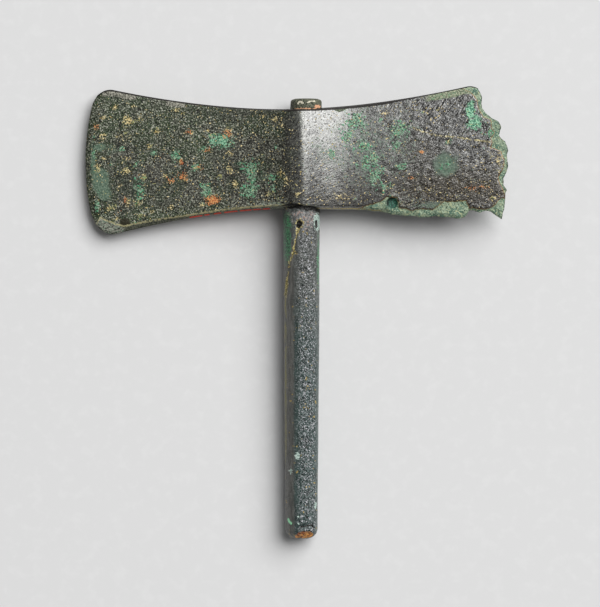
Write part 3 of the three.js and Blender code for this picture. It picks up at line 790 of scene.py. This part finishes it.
haft_x, haft_y, haft_z = haft_points.T
haft_front = haft_z > 0
ragged = 0.5 * mottle(haft_x, haft_y, haft_z, 2.4, 55, 2)
hole = 1.2 - near_line(haft_x, haft_y, HOLE)
crack = 0.8 - near_line(haft_x, haft_y, HAFT_CRACK)
slot = 0.8 - near_line(haft_x, haft_y, SLOT)
seam = ease(0.55 - np.abs(haft_x + 7 + 0.3 * ragged), 0, 0.3)
haft_masks = {
    # The near-black of this mask is painted shade: in the hole, the slot and the foot crack, and where the
    # haft goes into the socket.
    "hole": np.maximum.reduce([ease(hole + 0.3 * ragged, 0.1, 0.5), ease(slot, 0.1, 0.4),
                               ease(0.5 - near_line(haft_x, haft_y, FOOT_CRACK), 0, 0.3),
                               ease(haft_y + 0.12 * haft_x + ragged, -22.4, -22) * ease(-haft_y, 0, 1)]),
    "rim": np.maximum(ease(hole + 0.6 + 1.2 * ragged, 0, 0.5) * 0.8, ease(crack + ragged, 0.1, 0.4)),
    "smear": patches(haft_x + ragged, haft_y, SMEARS),
    "chip": patches(haft_x + 0.4 * ragged, haft_y, [
        (6.9, -27.6, 1.3, 3.6, 1.2), (-1.6, -130.2, 0.9, 1.5, 1.2), (6.2, -152.4, 0.4, 1.4, 1.1),
        (-1.2, -156.9, 0.6, 0.3, 1.3), (-1.2, -160.1, 0.6, 0.3, 1.2), (-4.6, -137, 0.9, 1.6, 0.7)]),
    "mint": ease(0.6 - near_line(haft_x, haft_y, [(-5.8, -158.4), (-5.4, -159.4), (-4.6, -160)]), 0, 0.3),
    "green": patches(haft_x, haft_y, HAFT_GREENS),
    "flank": ease(-haft_x + 0.6 * ragged, 2.6, 4) * ease(-haft_y, 30, 44),
    "seam": seam * ease(-haft_y, 50, 60) * ease(haft_y, -138, -130),
    "wrinkle_and_sheen_band": wrinkle_and_sheen_band(haft_x),
    "wood": ease(split + 0.2 * ragged, 0.15, 0.4) * ease(haft_x + ragged, -3.4, -2.2),
    "stub": ease(haft_y, 20, 22),
    "pale": np.maximum(ease(0.6 - near_line(haft_x, haft_y, STUB_CRESCENT), 0, 0.4),
                       ease(0.45 - near_line(haft_x, haft_y, STUB_SWIRL), 0, 0.3)),
    "pink": patches(haft_x, haft_y, [(6.9, 23, 1.2, 0.6, 1.3), (1, 22.1, 6, 0.25, 0.9)]),
}
for mask, values in haft_masks.items():
    keep_mask(haft.data, mask, values * np.maximum(haft_front, mask in ("wood", "stub")))


def dark_coat():
    finish = Finish("dark_coat")
    streak = finish.grain(1.2, 3, 0.6, stretch=(1, 0.2, 1))
    wrinkle = finish.grain(0.85, 2, 0.65, stretch=(1, 0.6, 1), warp=0.3)
    speck = finish.grain(0.65, 1, 0.6)
    fleck = finish.grain(0.8, 1, 0.5, shift=0.5)
    cloud = finish.grain(7, 2)
    wrinkles_and_painted_sheen = finish.step(finish.mask("wrinkle_and_sheen_band"), 0, 1, 0.22, 1)
    upper = finish.step(finish.add("SeparateXYZ", {0: finish.place}).outputs["Y"], -0.09, -0.045)

    # On the band the coat's teal runs lighter and darker than elsewhere: painted sheen and painted shade.
    teal = finish.mix(finish.step(wrinkle, -0.6, 0.6), (28, 42, 41), (98, 110, 108))
    quiet = finish.mix(finish.step(streak, -0.8, 0.8), (40, 54, 52), (76, 88, 84))
    teal = finish.mix(wrinkles_and_painted_sheen, quiet, teal)
    colour = finish.mix(finish.step(cloud, -0.8, 0.8), teal, finish.mix(0.45, teal, (58, 82, 78)))
    ashen = finish.mix(finish.step(streak, -0.8, 0.8), (66, 64, 60), (116, 114, 110))
    colour = finish.mix(finish.times(upper, 0.6), colour, ashen)
    # Light flecks on the band are painted highlights; the dark flecks below are painted shade between the
    # wrinkles.
    colour = finish.mix(finish.times(finish.step(speck, 0.25, 0.85), wrinkles_and_painted_sheen), colour, (188, 188, 192))
    colour = finish.mix(finish.times(finish.step(fleck, -0.3, -0.8), wrinkles_and_painted_sheen), colour, (20, 28, 27))
    flank = finish.mix(finish.step(streak, -0.8, 0.8), (84, 84, 80), (112, 111, 107))
    colour = finish.mix(finish.times(finish.mask("flank"), 0.9), colour, flank)
    seam_cover = finish.times(finish.mask("seam"), finish.step(streak, -0.6, 0.2))
    colour = finish.mix(seam_cover, colour, (128, 122, 66))
    dots = finish.step(finish.grain(2.2, 1, 0.5, shift=0.8), 0.9, 1.05)
    dots = finish.times(dots, finish.step(speck, -0.2, 0.3))
    colour = finish.mix(dots, colour, (172, 150, 88))

    edge = finish.times(speck, 0.25)
    green = finish.mix(finish.step(speck, -0.5, 0.7), (46, 78, 58), (88, 138, 104))
    green = finish.mix(finish.step(fleck, 0.4, 0.8), green, (70, 164, 104))
    colour = finish.mix(finish.step(finish.sum(finish.mask("green"), edge), 0.4, 0.7), colour, green)
    smear = finish.mix(finish.step(wrinkle, -0.7, 0.7), (84, 86, 86), (160, 160, 158))
    smear = finish.mix(finish.step(fleck, 0.3, 0.8), smear, (172, 142, 130))
    smeared = finish.step(finish.sum(finish.mask("smear"), edge), 0.4, 0.7)
    colour = finish.mix(finish.times(smeared, 0.85), colour, smear)
    rim = finish.step(finish.sum(finish.mask("rim"), finish.times(fleck, 0.5)), 0.65, 0.95)
    yellow = finish.mix(finish.step(speck, -0.4, 0.4), (124, 112, 60), (210, 196, 136))
    colour = finish.mix(rim, colour, yellow)
    chip = finish.mix(finish.step(speck, -0.6, 0.4), (120, 146, 136), (196, 214, 204))
    colour = finish.mix(finish.step(finish.sum(finish.mask("chip"), edge), 0.45, 0.6), colour, chip)
    colour = finish.mix(finish.mask("mint"), colour, (170, 250, 196))
    # Near-black in the hole, slot and foot crack and at the socket's mouth: painted shade.
    colour = finish.mix(finish.step(finish.mask("hole"), 0.3, 0.7), colour, (18, 17, 12))

    stub = finish.mix(finish.step(speck, -0.8, 0.8), (48, 52, 40), (112, 114, 94))
    colour = finish.mix(finish.mask("stub"), colour, stub)
    colour = finish.mix(finish.step(finish.sum(finish.mask("pale"), edge), 0.4, 0.6), colour, (222, 216, 194))
    pink = finish.step(finish.sum(finish.mask("pink"), edge), 0.45, 0.6)
    colour = finish.mix(pink, colour, (222, 166, 128))

    grain = finish.grain(2.4, 2, 0.6, shift=0.2)
    wood = finish.mix(finish.step(grain, -0.5, 0.3), (158, 86, 48), (240, 164, 82))
    wood = finish.mix(finish.step(speck, 0.4, 0.9), wood, (226, 200, 140))
    wood = finish.mix(finish.step(fleck, -0.4, -0.8), wood, (44, 30, 22))
    bare = finish.step(finish.sum(finish.mask("wood"), finish.times(speck, 0.15)), 0.4, 0.6)
    colour = finish.mix(bare, colour, wood)

    dull = finish.sum(finish.sum(bare, finish.mask("stub"), "MAXIMUM"), finish.mask("smear"), "MAXIMUM")
    finish.put(finish.shader.inputs["Base Color"], colour)
    finish.put(finish.shader.inputs["Roughness"], finish.step(dull, 0, 1, 0.3, 0.7))
    relief = finish.sum(finish.times(wrinkle, wrinkles_and_painted_sheen), finish.times(finish.sum(streak, speck), 0.25))
    finish.put(finish.shader.inputs["Normal"], finish.raised(relief, 0.16))
    return finish.material


haft.data.materials.append(dark_coat())
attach(haft, "root")
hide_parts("haft")


# ---- The table, the lamp and the camera -------------------------------------------------------
# A plain pale sheet lies under the axe. One large soft lamp stands beyond its upper right corner,
# and a weak sky fills the shadows. The camera looks straight down from well above.
table_corners = np.array([(-3, -3, 0), (3, -3, 0), (3, 3, 0), (-3, 3, 0)])
table = mesh_object("pale_table", table_corners, np.array([[0, 1, 2, 3]]))
paper = Finish("pale_paper")
tooth = paper.grain(6, 2)
paper.put(paper.shader.inputs["Base Color"], paper.mix(tooth, (225, 225, 225), (228, 228, 228)))
paper.shader.inputs["Roughness"].default_value = 0.9
table.data.materials.append(paper.material)

LAMP_HEIGHT = math.radians(50)
LAMP_SIDE = math.radians(45)
LAMP_FAR = 8
lamp = bpy.data.lights.new("softbox", "AREA")
lamp.shape = "SQUARE"
lamp.size = 7
lamp.energy = 870
lamp_stand = bpy.data.objects.new("softbox", lamp)
level_part = math.cos(LAMP_HEIGHT)
aim = np.array([level_part * math.cos(LAMP_SIDE), level_part * math.sin(LAMP_SIDE), math.sin(LAMP_HEIGHT)])
lamp_stand.location = aim * LAMP_FAR
lamp_turn = Matrix.Rotation(LAMP_SIDE + math.pi / 2, 4, "Z")
lamp_tip = Matrix.Rotation(math.pi / 2 - LAMP_HEIGHT, 4, "X")
lamp_stand.rotation_euler = (lamp_turn @ lamp_tip).to_euler()
bpy.context.collection.objects.link(lamp_stand)

sky = bpy.data.worlds.new("weak_sky")
sky.use_nodes = True
sky.node_tree.nodes["Background"].inputs["Color"].default_value = (1, 1, 1, 1)
sky.node_tree.nodes["Background"].inputs["Strength"].default_value = 0.14
bpy.context.scene.world = sky
bpy.context.scene.view_settings.view_transform = "Standard"

camera_data = bpy.data.cameras.new("camera")
camera = bpy.data.objects.new("camera", camera_data)
# The view is VIEW_WIDTH across at half the head's thickness, and centred a little below the head.
CAMERA_HEIGHT = 1.3
MID_HEIGHT = 0.011
VIEW_WIDTH = 0.264
VIEW_MIDDLE = (-0.00066, -0.0635)
camera_data.sensor_fit = "HORIZONTAL"
camera_data.lens = camera_data.sensor_width * (CAMERA_HEIGHT - MID_HEIGHT) / VIEW_WIDTH
camera.location = (*VIEW_MIDDLE, CAMERA_HEIGHT)
bpy.context.collection.objects.link(camera)
bpy.context.scene.camera = camera
